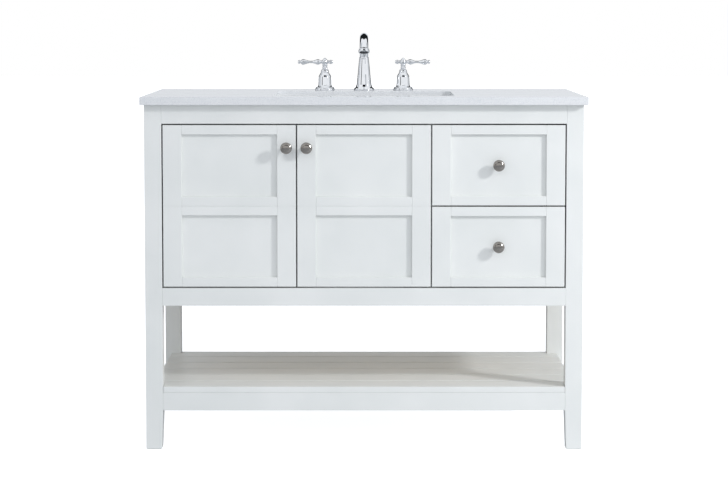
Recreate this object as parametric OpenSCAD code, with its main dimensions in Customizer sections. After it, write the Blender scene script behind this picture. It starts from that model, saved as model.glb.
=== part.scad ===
// Three-bay bathroom vanity: two doors, two drawers, an open slatted shelf, a stone counter,
// an undermount basin and a widespread tap set. Millimetres, +Z up, +Y towards the wall.
// The origin is on the floor, in the middle of the whole vanity.

/* [Cabinet] */
// Width over the legs
cab_w = 1050; // [880:5:1300]
// Depth over the legs
cab_d = 539; // [450:1:660]
// Height of the legs, up to the underside of the counter
cab_h = 832; // [690:1:1000]
// Side of the square legs
leg = 41; // [34:1:50]
// How much a leg's two inner faces taper below the shelf
foot_taper = 3.5; // [0:0.5:8]
// Chamfer round the foot of a leg
foot_chamfer = 2; // [0.5:0.5:4]

/* [Case] */
// Height of the rail above the doors
top_rail_h = 45.5; // [38:0.5:56]
// Height of the opening that the doors and drawers fill
open_h = 394.5; // [330:0.5:475]
// Height of the rail below the doors
bottom_rail_h = 43; // [35:0.5:55]
// Thickness of the case rails
rail_t = 20; // [16:0.5:24]
// How far the side rails sit behind the legs' outer faces
side_inset = 3; // [0:0.5:6]
// Thickness of the side panels
side_panel_t = 12; // [9:0.5:15]
// How far the side panels sit behind the side rails
side_panel_recess = 6; // [3:0.5:8]
// Thickness of the cabinet floor
floor_t = 12; // [9:0.5:18]
// Thickness of the upright partition between the cupboard and the drawers
partition_t = 16; // [12:0.5:19]
// Thickness of the back panel
back_t = 6; // [3:0.5:9]
// How far the back panel sits in front of the legs' back faces
back_inset = 6; // [2:0.5:10]

/* [Doors and drawer fronts] */
// Thickness of the door and drawer frames
front_t = 19; // [16:0.5:22]
// Gap round each door and drawer front
front_gap = 3.2; // [2.5:0.1:4]
// Width of the stiles
stile_w = 45; // [38:0.5:54]
// Height of the frame rails
front_rail_h = 22.5; // [18:0.5:27]
// How far the flat panels sit behind the frames
panel_recess = 8; // [5:0.5:9]
// Thickness of the flat panels
panel_t = 6; // [4:0.5:8]
// Length of the tongues in their grooves
tongue = 6.5; // [5:0.5:9]
// Clearance round a tongue
tongue_clear = 0.1; // [0.05:0.05:0.3]
// Width of the groove that divides a door in two
vee_w = 2.4; // [1.5:0.1:4]

/* [Knobs] */
// Diameter of the knobs
knob_d = 28; // [23:0.5:34]
// How far a knob stands out from the face it is screwed to
knob_out = 27; // [22:0.5:33]
// Diameter of the knob screws
knob_screw_d = 4; // [3:0.5:5]
// Height of the door knobs below the top of the doors
door_knob_drop = 54; // [40:1:80]

/* [Hinges] */
// Diameter of the hinge cups
cup_d = 35; // [30:0.5:35]
// Depth of the cup holes
cup_depth = 12; // [10:0.5:13]
// From the door's edge to the middle of a cup
cup_edge = 20.5; // [18:0.5:22]
// From a door's end to the middle of its hinge
hinge_end = 90; // [60:1:110]

/* [Drawers] */
// Width that a drawer slide takes up on each side
slide_w = 12.7; // [12:0.1:14]
// Height of the drawer slides
slide_h = 36; // [30:1:45]
// Thickness of the drawer slides' steel
slide_t = 1.4; // [1:0.1:1.6]
// Thickness of the drawer boxes' sides and ends
box_t = 12; // [9:0.5:15]
// Thickness of the drawer bottoms
box_bottom_t = 6; // [4:0.5:8]
// Space behind the drawer boxes
box_back_gap = 70; // [50:1:90]
// From the bottom of a drawer front to the bottom of its box
box_lift = 10; // [8:0.5:14]
// From the top of the lower drawer front to the top of its box
box_drop = 32; // [26:1:45]

/* [Shelf] */
// Height of the shelf rails' bottom edges above the floor
shelf_z = 95; // [75:1:115]
// Height of the shelf rails
shelf_rail_h = 43.5; // [35:0.5:53]
// Thickness of the slats
slat_t = 14.5; // [12:0.5:18]
// Number of slats
slat_n = 6; // [5:1:8]
// Gap between the slats
slat_gap = 6; // [4:0.5:9]
// From the back of the last slat to the legs' back faces
slat_back = 14; // [5:1:18]
// How far the shelf's ends sit behind the legs' outer faces
shelf_inset = 15; // [8:0.5:18]

/* [Counter] */
// Thickness of the counter
top_t = 19; // [16:0.5:30]
// How far the counter reaches past the legs on each side
top_side = 8.5; // [4:0.5:15]
// How far the counter reaches past the legs in front
top_front = 20; // [10:0.5:24]

/* [Basin] */
// Width of the basin's opening
sink_w = 440; // [370:1:480]
// From the counter's front edge to the basin's opening
sink_front = 85; // [75:1:105]
// From the basin's opening to the counter's back edge
sink_back = 174; // [150:1:200]
// Corner radius of the opening
sink_r = 24; // [15:1:35]
// Depth of the bowl below the counter
sink_h = 136; // [100:1:145]
// Thickness of the basin's walls and floor
sink_wall = 9; // [7:0.5:12]
// Width of the flange that is bonded under the counter
sink_flange = 13; // [10:0.5:18]
// Diameter of the hole for the drain
drain_d = 45; // [42:0.5:50]
// Outside diameter of the drain's tailpiece
tail_d = 31.75; // [28:0.05:38.1]
// Length of the tailpiece below its nut
tail_len = 110; // [80:1:150]

/* [Tap set] */
// Distance between the middles of the two handles
tap_spread = 203.2; // [160:0.2:250]
// From the counter's back edge to the middle line of the tap set
tap_back = 88; // [75:1:95]
// Diameter of the holes in the counter
tap_hole_d = 35; // [32:0.5:38]
// Height of the spout above the counter
spout_h = 149; // [130:1:178]
// Diameter of the spout's curved tube
spout_tube_d = 22; // [18:0.5:25]
// Radius of the spout's bend, to the middle of its tube
spout_bend = 56; // [47:1:62]
// Angle that the spout's bend turns through
spout_turn = 160; // [145:1:175]
// Length of a lever from its turning axis to its tip
lever_len = 70; // [58:1:84]
// Outside diameter of the threaded bodies that go through the counter
tap_body_d = 27; // [23:0.5:31]
// Outside diameter of the threaded inlets below them
inlet_d = 20.9; // [18:0.1:22]
// Length of the inlets
inlet_len = 30; // [20:1:45]

/* [Hidden] */
$fn = 64;
eps = 0.01;
y_front = -(cab_d - knob_out) / 2;
y_back = y_front + cab_d;
open_w = cab_w - 2 * leg;
open_top = cab_h - top_rail_h;
open_z = open_top - open_h;
case_z = open_z - bottom_rail_h;
bay_w = open_w / 3;
split_z = open_z + open_h / 2;
leg_gap_y0 = y_front + leg;
leg_gap_y1 = y_back - leg;
side_rail_x = cab_w / 2 - side_inset - rail_t;
side_panel_x = cab_w / 2 - side_inset - side_panel_recess - side_panel_t;
back_y = y_back - back_inset - back_t;
partition_x = bay_w / 2;
partition_gap = 2;
partition_y = y_front + front_t + partition_gap;
top_w = cab_w + 2 * top_side;
top_z = cab_h + top_t;
top_y = y_front - top_front;
door_w = bay_w - 1.5 * front_gap;
door_z = open_z + front_gap;
door_h = open_h - 2 * front_gap;
drawer_h = (open_h - 3 * front_gap) / 2;
upper_z = split_z + front_gap / 2;
left_door_x = -open_w / 2 + front_gap;
middle_w = bay_w - front_gap;
drawer_x = bay_w / 2 + front_gap / 2;
panel_y = y_front + panel_recess;
sink_d = cab_d + top_front - sink_front - sink_back;
sink_y = top_y + sink_front + sink_d / 2;
bowl_bottom = cab_h - sink_h - sink_wall;
bowl_clear = 8;
flange_h = 12;
tap_y = y_back - tap_back;
sink_out = sink_wall + sink_flange;
floor_face = cab_h - sink_h;
drain_lip_t = 2;
drain_lip_reach = 8.5;
drain_lip_d = drain_d + 2 * drain_lip_reach;
drain_tube_d = drain_d - 1;
drain_bore_d = tail_d + 2;
drain_tube_below = 38;
drain_tube_h = sink_wall + drain_tube_below;
nut_h = 8;
box_x0 = bay_w / 2 + partition_t / 2 + slide_w;
box_x1 = open_w / 2 - slide_w;
box_w = box_x1 - box_x0;
box_len = cab_d - front_t - box_back_gap;
box_y = y_front + front_t;
upper_box_z = upper_z + box_lift;
box_below_sink = 12;
upper_box_h = min(bowl_bottom - box_below_sink, open_top - box_drop) - upper_box_z;
lower_box_z = door_z + box_lift;
lower_box_h = drawer_h - box_lift - box_drop;
spout_arc_z = top_z + spout_h - spout_tube_d / 2 - spout_bend;
spout_neck_z = 70;
hinge_z = [door_z + hinge_end, door_z + door_h - hinge_end];

// ---- shared shapes ----

// A box from its lowest corner and its size
module block(corner, size) {
    translate(corner) cube(size);
}

// The same child on the left and on the right
module both_sides() {
    children();
    mirror([1, 0, 0]) children();
}

// A rectangle with round corners, centred
module round_rect(w, d, r) {
    square([w - 2 * r, d], center = true);
    square([w, d - 2 * r], center = true);
    for (x = [-1, 1], y = [-1, 1]) translate([x * (w / 2 - r), y * (d / 2 - r)]) circle(r);
}

// A cylinder along Y, towards the back
module y_cylinder(d, h) {
    rotate([-90, 0, 0]) cylinder(d = d, h = h);
}

// ---- legs and case ----

module leg_outline() {
    c = foot_chamfer;
    foot = leg - foot_taper;
    polygon([[c, 0], [foot - c, 0], [foot, c], [leg, shelf_z], [leg, cab_h], [0, cab_h], [0, c]]);
}

module leg_post() {
    intersection() {
        translate([0, leg, 0]) rotate([90, 0, 0]) linear_extrude(leg) leg_outline();
        rotate([90, 0, 90]) linear_extrude(leg) leg_outline();
    }
}

leveller_d = 22;
leveller_h = 5;
leveller_stem_d = 6;
leveller_stem = 30;
leveller_clear = 0.5;

module leveller(clear) {
    cylinder(d = leveller_d + 2 * clear, h = leveller_h + clear);
    cylinder(d = leveller_stem_d + 0.2 * clear, h = leveller_stem + clear);
}

// Where the middle of a foot is, measured from the leg's outer corner
foot_middle = (leg - foot_taper) / 2;

module at_leg(side, end) {
    translate([side * cab_w / 2, end < 0 ? y_front : y_back, 0])
        mirror([side > 0 ? 1 : 0, 0, 0]) mirror([0, end > 0 ? 1 : 0, 0]) children();
}

module leg_part(side, end) {
    color("white") at_leg(side, end) difference() {
        leg_post();
        translate([foot_middle, foot_middle, -eps]) leveller(leveller_clear);
    }
}

module leg_levellers() {
    color("dimgray") for (side = [-1, 1], end = [-1, 1])
        at_leg(side, end) translate([foot_middle, foot_middle, 0]) leveller(0);
}

// The rails above and below the doors, and the two behind them
module case_rails() {
    color("white") for (y = [y_front, y_back - rail_t]) {
        block([-open_w / 2, y, open_top], [open_w, rail_t, top_rail_h]);
        block([-open_w / 2, y, case_z], [open_w, rail_t, bottom_rail_h]);
    }
}

module side_rails() {
    length = leg_gap_y1 - leg_gap_y0;
    color("white") both_sides() {
        block([side_rail_x, leg_gap_y0, open_top], [rail_t, length, top_rail_h]);
        block([side_rail_x, leg_gap_y0, case_z], [rail_t, length, bottom_rail_h]);
    }
}

module side_panels() {
    length = leg_gap_y1 - leg_gap_y0;
    color("whitesmoke") both_sides()
        block([side_panel_x, leg_gap_y0, open_z], [side_panel_t, length, open_h]);
}

// The way through the back panel for the water pipes and the waste, behind the basin
plumb_reach = 140;
plumb_side = 60;
plumb_low = 70;
plumb_high = 60;

module back_panel() {
    cut_x = -plumb_reach;
    cut_w = partition_x - partition_t / 2 - plumb_side - cut_x;
    color("whitesmoke") difference() {
        block([-open_w / 2, back_y, open_z], [open_w, back_t, open_h]);
        block([cut_x, back_y - 1, open_z + plumb_low], [cut_w, back_t + 2, open_h - plumb_low - plumb_high]);
    }
}

module cabinet_floor() {
    depth = cab_d - 2 * rail_t;
    color("whitesmoke") difference() {
        block([-side_rail_x, y_front + rail_t, open_z - floor_t], [2 * side_rail_x, depth, floor_t]);
        for (side = [-1, 1], end = [-1, 1])
            at_leg(side, end) block([-1, -1, open_z - floor_t - 1], [leg + 1, leg + 1, floor_t + 2]);
    }
}

// The partition is open at the top where the basin hangs through it
module partition_outline() {
    front = partition_y - y_front;
    back = back_y - y_front;
    rail = cab_d - rail_t;
    bowl_front = sink_front - top_front - sink_wall - bowl_clear;
    bowl_back = bowl_front + sink_d + 2 * (sink_wall + bowl_clear);
    flange_front = bowl_front - sink_flange;
    flange_back = bowl_back + sink_flange;
    low = bowl_bottom - bowl_clear;
    ledge = cab_h - flange_h - bowl_clear;
    polygon([
        [front, open_z], [front, cab_h], [flange_front, cab_h], [flange_front, ledge],
        [bowl_front, ledge], [bowl_front, low], [bowl_back, low], [bowl_back, ledge],
        [flange_back, ledge], [flange_back, cab_h], [rail, cab_h], [rail, open_top],
        [back, open_top], [back, open_z]
    ]);
}

module partition() {
    color("whitesmoke") translate([partition_x - partition_t / 2, y_front, 0])
        rotate([90, 0, 90]) linear_extrude(partition_t) partition_outline();
}

function slide_z(low, height) = low + height / 2;
upper_slide_z = slide_z(upper_box_z, upper_box_h);
lower_slide_z = slide_z(lower_box_z, lower_box_h);
spacer_rim = 5;
spacer_h = slide_h + 2 * spacer_rim;

module slide_spacers() {
    color("burlywood") for (z = [upper_slide_z, lower_slide_z])
        block([open_w / 2, leg_gap_y0, z - spacer_h / 2],
              [side_panel_x - open_w / 2, leg_gap_y1 - leg_gap_y0, spacer_h]);
}

// ---- shelf ----

module shelf_rails() {
    side_x = cab_w / 2 - shelf_inset - rail_t;
    color("white") {
        for (y = [y_front, y_back - rail_t])
            block([-open_w / 2, y, shelf_z], [open_w, rail_t, shelf_rail_h]);
        both_sides() block([side_x, leg_gap_y0, shelf_z], [rail_t, leg_gap_y1 - leg_gap_y0, shelf_rail_h]);
    }
}

module shelf_slats() {
    half = cab_w / 2 - shelf_inset;
    pitch = (cab_d - slat_back + slat_gap) / slat_n;
    z = shelf_z + shelf_rail_h;
    leg_clear = 0.5;
    color("white") difference() {
        for (i = [0 : slat_n - 1])
            block([-half, y_front + i * pitch, z], [2 * half, pitch - slat_gap, slat_t]);
        for (side = [-1, 1], end = [-1, 1])
            at_leg(side, end) block([-1, -1, z - 1], [leg + 1 + leg_clear, leg + 1 + leg_clear, slat_t + 2]);
    }
}

// ---- counter, basin and drain ----

module countertop() {
    color("white") difference() {
        block([-top_w / 2, top_y, cab_h], [top_w, cab_d + top_front, top_t]);
        translate([0, sink_y, cab_h - 1]) linear_extrude(top_t + 2) round_rect(sink_w, sink_d, sink_r);
        for (x = [-tap_spread / 2, 0, tap_spread / 2])
            translate([x, tap_y, cab_h - 1]) cylinder(d = tap_hole_d, h = top_t + 2);
    }
}

module sink_basin() {
    color("snow") translate([0, sink_y, 0]) difference() {
        union() {
            translate([0, 0, cab_h - flange_h]) linear_extrude(flange_h)
                round_rect(sink_w + 2 * sink_out, sink_d + 2 * sink_out, sink_r + sink_out);
            translate([0, 0, bowl_bottom]) linear_extrude(sink_h + sink_wall - flange_h / 2)
                round_rect(sink_w + 2 * sink_wall, sink_d + 2 * sink_wall, sink_r + sink_wall);
        }
        translate([0, 0, floor_face]) linear_extrude(sink_h + 1) round_rect(sink_w, sink_d, sink_r);
        translate([0, 0, bowl_bottom - 1]) cylinder(d = drain_d, h = sink_wall + 2);
    }
}

stopper_cap_h = 3;
stopper_dome_h = 1.5;
stopper_stem_d = 6;
stopper_stem_below = 6;
stopper_stem_clear = 0.05;
stopper_guide_d = 14;
stopper_guide_h = 8;
spoke_t = 3;
spoke_h = 6;

module drain_flange() {
    low = floor_face - drain_tube_h;
    color("silver") translate([0, sink_y, 0]) {
        difference() {
            union() {
                translate([0, 0, floor_face]) cylinder(d = drain_lip_d, h = drain_lip_t);
                translate([0, 0, low]) cylinder(d = drain_tube_d, h = drain_tube_h + drain_lip_t);
            }
            translate([0, 0, low - 1]) cylinder(d = drain_bore_d + 2, h = drain_tube_h + drain_lip_t + 2);
        }
        difference() {
            translate([0, 0, low]) union() {
                cylinder(d = stopper_guide_d, h = stopper_guide_h);
                for (turn = [0, 60, 120]) rotate(turn)
                    block([-drain_tube_d / 2 + 1, -spoke_t / 2, 0], [drain_tube_d - 2, spoke_t, spoke_h]);
            }
            translate([0, 0, low - 1])
                cylinder(d = stopper_stem_d + 2 * stopper_stem_clear, h = stopper_guide_h + 2);
        }
    }
}

tail_wall = 1.5;
tail_flare_h = 6;

module drain_tailpiece() {
    top = floor_face - drain_tube_h;
    color("silver") translate([0, sink_y, top - tail_len]) difference() {
        union() {
            cylinder(d = tail_d, h = tail_len);
            translate([0, 0, tail_len - tail_flare_h]) cylinder(d = drain_tube_d, h = tail_flare_h);
        }
        translate([0, 0, -1]) cylinder(d = tail_d - 2 * tail_wall, h = tail_len + 2);
    }
}

module drain_stopper() {
    cap_d = drain_bore_d - 1;
    cap_z = floor_face + drain_lip_t - stopper_cap_h;
    stem = cap_z - (floor_face - drain_tube_h) + stopper_stem_below;
    color("silver") translate([0, sink_y, cap_z]) {
        cylinder(d = cap_d, h = stopper_cap_h);
        translate([0, 0, stopper_cap_h - eps])
            cylinder(d1 = cap_d, d2 = cap_d - 4 * stopper_dome_h, h = stopper_dome_h);
        translate([0, 0, -stem]) cylinder(d = stopper_stem_d, h = stem + 1);
    }
}

// ---- tap set ----

// How far the threaded bodies reach below the counter, past their nuts
body_below = 20;

// A threaded body up through the counter with its inlet below
module shank() {
    translate([0, 0, cab_h - body_below]) cylinder(d = tap_body_d, h = body_below + top_t);
    translate([0, 0, cab_h - body_below - inlet_len]) cylinder(d = inlet_d, h = inlet_len + 1);
}

// Radius and height of each turn of the spout's trumpet-shaped body
spout_profile = [
    [0, 0], [27, 0], [27.2, 2.5], [25, 5.5], [21.5, 9.5], [19.6, 14], [18.6, 20], [17.8, 28],
    [16.3, 40], [15, 54], [13.9, 68], [12.6, 80], [11.8, 86], [0, 86]
];

// The tube's path, up from the body and forward round the bend
module gooseneck(d, low) {
    translate([0, 0, low]) cylinder(d = d, h = spout_arc_z - low);
    translate([0, -spout_bend, spout_arc_z]) rotate([0, -90, 0]) rotate([0, 0, 90 - spout_turn])
        rotate_extrude(angle = spout_turn) translate([spout_bend, 0]) circle(d = d);
}

// The open end of the spout, with +Z pointing back into the tube
module at_outlet() {
    translate([0, -spout_bend, spout_arc_z]) rotate([spout_turn, 0, 0]) translate([0, spout_bend, 0])
        rotate([180, 0, 0]) children();
}

// The aerator, and where its top seats along the tube
aerator_d = 23;
aerator_h = 5;
aerator_rim = 2;
aerator_dish = 2;
aerator_seat = 4;
aerator_clear = 0.1;

// Radius and place along the tube of the collar round the outlet
collar_profile = [[0, -2], [14, -2], [14, 3], [12.6, 4], [13.2, 5.2], [13.2, 6.8], [11.8, 9], [0, 9]];

spout_bore = 12;

module spout() {
    low = cab_h - body_below - inlet_len - 1;
    color("gainsboro") translate([0, tap_y, 0]) difference() {
        union() {
            translate([0, 0, top_z]) rotate_extrude() polygon(spout_profile);
            gooseneck(spout_tube_d, top_z + spout_neck_z);
            at_outlet() rotate_extrude() polygon(collar_profile);
            shank();
        }
        gooseneck(spout_bore, low);
        at_outlet() translate([0, 0, -3]) cylinder(d = aerator_d, h = 3 + aerator_seat);
    }
}

module spout_aerator() {
    outer = aerator_d - 2 * aerator_clear;
    color("dimgray") translate([0, tap_y, 0]) at_outlet()
        translate([0, 0, aerator_seat - aerator_h]) difference() {
            cylinder(d = outer, h = aerator_h);
            translate([0, 0, -1]) cylinder(d = outer - 2 * aerator_rim, h = aerator_dish + 1);
        }
}

handle_profile = [
    [0, 0], [25.5, 0], [25.5, 3.6], [24.4, 4.5], [25, 5.4], [23.6, 7.4], [19.6, 9.6], [17.4, 12],
    [16.8, 18], [16.6, 27], [16.2, 34], [14.6, 39], [11.6, 43.4], [10, 46.5], [10.6, 48.4],
    [9.8, 50.4], [9, 53], [0, 53]
];
stem_d = 8;
stem_clear = 0.05;
stem_len = 24;
stem_seat = 53;
valve_head_d = 18.9;
valve_head_h = 26;

module handle_bases() {
    color("gainsboro") for (side = [-1, 1]) translate([side * tap_spread / 2, tap_y, top_z]) difference() {
        rotate_extrude() polygon(handle_profile);
        translate([0, 0, -1]) cylinder(d = valve_head_d, h = valve_head_h + 3);
        translate([0, 0, valve_head_h]) cylinder(d = stem_d + 2 * stem_clear, h = stem_seat);
    }
}

module tap_valves() {
    color("goldenrod") for (side = [-1, 1]) translate([side * tap_spread / 2, tap_y, 0]) {
        shank();
        translate([0, 0, top_z - 1]) cylinder(d = valve_head_d, h = valve_head_h + 1);
    }
}

washer_t = 2;
drain_nut_reach = 8;
tap_nut_reach = 2;
tap_washer_reach = 4.5;

// A hexagon nut with its washer on top
module nut(bore, across, washer) {
    difference() {
        union() {
            cylinder(d = across, h = nut_h, $fn = 6);
            translate([0, 0, nut_h - washer_t]) cylinder(d = washer, h = washer_t);
        }
        translate([0, 0, -1]) cylinder(d = bore, h = nut_h + 2);
    }
}

// One nut under the basin and one under each part of the tap set
module mounting_nuts() {
    drain_nut = drain_tube_d + 2 * drain_nut_reach;
    color("goldenrod") {
        translate([0, sink_y, bowl_bottom - nut_h]) nut(drain_tube_d, drain_nut, drain_nut);
        for (x = [-tap_spread / 2, 0, tap_spread / 2]) translate([x, tap_y, cab_h - nut_h])
            nut(tap_body_d, tap_hole_d + 2 * tap_nut_reach, tap_hole_d + 2 * tap_washer_reach);
    }
}

// The two beads of the neck, the hub's ball and the cap above it
hub_profile = [
    [0, 0], [8, 0], [8.2, 1], [6, 1.9], [5.5, 2.3], [6.2, 3.4], [6.5, 4.8], [6.2, 6.2], [5.4, 7.6],
    [5.3, 8.4], [6.2, 9.8], [6.5, 11.3], [6, 12.8], [5.4, 13.6], [6.8, 15.4], [7.8, 18], [7.9, 20.5],
    [7.2, 23.4], [5.6, 25.8], [3.4, 27], [3.2, 27.6], [3.6, 28.4], [3, 29.4], [1.6, 29.9], [0, 30]
];

// Radius and place along the lever, as shares of its length
lever_profile = [
    [0, 0], [5, 0], [4.8, 0.115], [3.8, 0.13], [3.8, 0.15], [5.4, 0.185], [6.6, 0.23], [6.8, 0.28],
    [5.8, 0.335], [4, 0.4], [3.1, 0.47], [3, 0.57], [3.8, 0.65], [5.6, 0.72], [7, 0.78], [7.1, 0.83],
    [5.8, 0.875], [3.4, 0.91], [3.1, 0.922], [4.6, 0.942], [5, 0.962], [3.9, 0.99], [0, 1]
];
tail_profile = [
    [0, 0], [5, 0], [4.6, 0.42], [3.3, 0.47], [3.3, 0.52], [4.5, 0.59], [5.2, 0.7], [5.2, 0.8],
    [4.2, 0.91], [2.4, 0.985], [0, 1]
];
lever_tail = 21;
lever_z = 19.5;
handle_gap = 0.4;

module handle(side) {
    color("gainsboro") translate([side * tap_spread / 2, tap_y, top_z + stem_seat + handle_gap]) {
        rotate_extrude() polygon(hub_profile);
        translate([0, 0, 1 - stem_len]) cylinder(d = stem_d, h = stem_len);
        translate([0, 0, lever_z]) rotate([0, side * 90, 0]) rotate_extrude()
            polygon([for (p = lever_profile) [p[0], p[1] * lever_len]]);
        translate([0, 0, lever_z]) rotate([0, -side * 90, 0]) rotate_extrude()
            polygon([for (p = tail_profile) [p[0], p[1] * lever_tail]]);
    }
}

// ---- doors and drawer fronts ----

groove_t = panel_t + 2 * tongue_clear;
groove_depth = tongue + 2 * tongue_clear;

// Two stiles w apart over all and h tall, grooved on their inner edges
module stiles(w, h) {
    for (x = [0, w - stile_w]) difference() {
        block([x, 0, 0], [stile_w, front_t, h]);
        block([x == 0 ? stile_w - groove_depth : x - 1, panel_recess - tongue_clear, -1],
              [groove_depth + 1, groove_t, h + 2]);
    }
}

// A rail with a tongue at each end; grooves run along its edges where they are asked for
module rail(w, z, h, below, above) {
    length = w - 2 * stile_w;
    difference() {
        union() {
            block([stile_w, 0, z], [length, front_t, h]);
            block([stile_w - tongue, panel_recess, z], [length + 2 * tongue, panel_t, h]);
        }
        groove = [w, groove_t, groove_depth + 1];
        if (below) block([0, panel_recess - tongue_clear, z - 1], groove);
        if (above) block([0, panel_recess - tongue_clear, z + h - groove_depth], groove);
    }
}

// A flat panel whose visible part is from low to high, with its tongues
module flat_panel(w, low, high) {
    block([stile_w - tongue, panel_recess, low - tongue],
          [w - 2 * stile_w + 2 * tongue, panel_t, high - low + 2 * tongue]);
}

// The fine groove across a door
module vee(w) {
    translate([-1, 0, split_z - door_z]) rotate([90, 0, 90]) linear_extrude(w + 2)
        polygon([[-eps, -vee_w / 2], [vee_w / 2, 0], [-eps, vee_w / 2]]);
}

// The mushroom knob, outlined by radius and distance from the face
knob_outline = [
    [0, 0], [0.29, 0], [0.29, 0.06], [0.2, 0.16], [0.165, 0.3], [0.18, 0.42], [0.28, 0.53], [0.44, 0.6],
    [0.5, 0.68], [0.49, 0.77], [0.43, 0.87], [0.31, 0.95], [0.16, 0.99], [0, 1]
];
knob_head_d = 2 * knob_screw_d + 1;
knob_head_h = 2.4;

module knob(screw_len) {
    rotate([90, 0, 0]) rotate_extrude()
        polygon([for (p = knob_outline) [p[0] * knob_d, p[1] * knob_out]]);
    translate([0, -1, 0]) y_cylinder(knob_screw_d, screw_len + 1);
    translate([0, screw_len, 0]) y_cylinder(knob_head_d, knob_head_h);
}

module knob_hole(screw_len) {
    translate([0, -1, 0]) y_cylinder(knob_screw_d + 0.2, screw_len + 2);
}

// The hinge cups are in the stile at the hinge side; the knob is on the other stile
module door_stiles(w, hinge_left) {
    cup_x = hinge_left ? cup_edge : w - cup_edge;
    knob_x = hinge_left ? w - stile_w / 2 : stile_w / 2;
    color("white") difference() {
        stiles(w, door_h);
        vee(w);
        for (z = hinge_z) translate([cup_x, front_t - cup_depth, z - door_z])
            y_cylinder(cup_d, cup_depth + 1);
        translate([knob_x, 0, door_h - door_knob_drop]) knob_hole(front_t);
    }
}

module door_rails(w) {
    middle = split_z - door_z;
    color("white") difference() {
        union() {
            rail(w, 0, front_rail_h, false, true);
            rail(w, middle - front_rail_h, 2 * front_rail_h, true, true);
            rail(w, door_h - front_rail_h, front_rail_h, true, false);
        }
        vee(w);
    }
}

module door_panels(w) {
    middle = split_z - door_z;
    color("whitesmoke") {
        flat_panel(w, front_rail_h, middle - front_rail_h);
        flat_panel(w, middle + front_rail_h, door_h - front_rail_h);
    }
}

module door_knob(w, hinge_left) {
    knob_x = hinge_left ? w - stile_w / 2 : stile_w / 2;
    color("silver") translate([knob_x, 0, door_h - door_knob_drop]) knob(front_t);
}

cup_wall = 1;
cup_clear = 0.1;
plate_t = 1.2;
plate_h = 58;
plate_w = 18;
plate_hole_d = 4;
plate_hole_in = 6;

module door_hinge_cups(w, hinge_left) {
    cup_x = hinge_left ? cup_edge : w - cup_edge;
    outer = cup_d - 2 * cup_clear;
    color("lightgray") for (z = hinge_z) translate([cup_x, 0, z - door_z]) difference() {
        union() {
            translate([0, front_t - cup_depth, 0]) y_cylinder(outer, cup_depth + plate_t);
            block([-plate_w / 2, front_t, -plate_h / 2], [plate_w, plate_t, plate_h]);
        }
        translate([0, front_t - cup_depth + cup_wall, 0])
            y_cylinder(outer - 2 * cup_wall, cup_depth + plate_t);
        for (s = [-1, 1]) translate([0, front_t - 1, s * (plate_h / 2 - plate_hole_in)])
            y_cylinder(plate_hole_d, plate_t + 2);
    }
    pin_x = hinge_left ? cup_pin[0] : w - cup_pin[0];
    reach = sqrt(pow(outer / 2 - cup_wall / 2, 2) - pow(cup_pin[0] - cup_edge, 2));
    color("lightgray") for (z = hinge_z)
        translate([pin_x, cup_pin[1], z - door_z - reach]) cylinder(d = hinge_pin_d, h = 2 * reach);
}

module at_left_door() {
    translate([left_door_x, y_front, door_z]) children();
}

module at_right_door() {
    translate([-middle_w / 2, y_front, door_z]) children();
}

module drawer_stiles(z) {
    color("white") translate([drawer_x, y_front, z]) stiles(door_w, drawer_h);
}

module drawer_rails(z) {
    color("white") translate([drawer_x, y_front, z]) {
        rail(door_w, 0, front_rail_h, false, true);
        rail(door_w, drawer_h - front_rail_h, front_rail_h, true, false);
    }
}

module drawer_panel(z) {
    color("whitesmoke") translate([drawer_x, y_front, z]) difference() {
        flat_panel(door_w, front_rail_h, drawer_h - front_rail_h);
        translate([door_w / 2, panel_recess, drawer_h / 2]) knob_hole(panel_t);
    }
}

// How far a drawer's knob screw goes: through the panel, and the box where it is behind
function drawer_screw(z, box_z, box_h) =
    z + drawer_h / 2 + knob_screw_d < box_z + box_h ? front_t - panel_recess + box_t : panel_t;

module drawer_knob(z, screw_len) {
    color("silver") translate([drawer_x + door_w / 2, panel_y, z + drawer_h / 2]) knob(screw_len);
}

// ---- drawer boxes ----

bottom_lift = 8;
bottom_groove = 6;

module box_sides(z, h) {
    color("burlywood") for (x = [box_x0, box_x1 - box_t]) difference() {
        block([x, box_y, z], [box_t, box_len, h]);
        block([x == box_x0 ? x + box_t - bottom_groove : x - 1, box_y - 1, z + bottom_lift],
              [bottom_groove + 1, box_len + 2, box_bottom_t]);
    }
}

module box_ends(z, h, front_z) {
    color("burlywood") difference() {
        for (y = [box_y, box_y + box_len - box_t])
            block([box_x0 + box_t, y, z], [box_w - 2 * box_t, box_t, h]);
        block([box_x0, box_y + box_t - bottom_groove, z + bottom_lift],
              [box_w, box_len - 2 * box_t + 2 * bottom_groove, box_bottom_t]);
        translate([drawer_x + door_w / 2, box_y, front_z + drawer_h / 2]) knob_hole(box_t);
    }
}

module box_bottom(z) {
    grip = bottom_groove - 0.2;
    color("wheat") block([box_x0 + box_t - grip, box_y + box_t - grip, z + bottom_lift],
                         [box_w - 2 * box_t + 2 * grip, box_len - 2 * box_t + 2 * grip, box_bottom_t]);
}

// ---- drawer slides ----

// A channel along Y with its web at the side x = 0 and its lips towards +X
module channel(web_x, lip_x, height, length) {
    translate([0, length, 0]) rotate([90, 0, 0]) linear_extrude(length) {
        translate([web_x < lip_x ? web_x : web_x - slide_t, -height / 2]) square([slide_t, height]);
        for (y = [-height / 2, height / 2 - slide_t])
            translate([min(web_x, lip_x), y]) square([abs(lip_x - web_x), slide_t]);
    }
}

slide_start = 3;
slide_y = box_y + slide_start;
slide_len = box_len - slide_start;
// How far the outer and middle members' lips stop short of the drawer, and how deep the inner is
outer_short = 3.6;
middle_short = 2;
inner_depth = 6.5;
ball_gap = 1.6;
middle_h = slide_h - 2 * slide_t - 2 * ball_gap;
inner_h = middle_h - 2 * slide_t - 2 * ball_gap;

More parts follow.
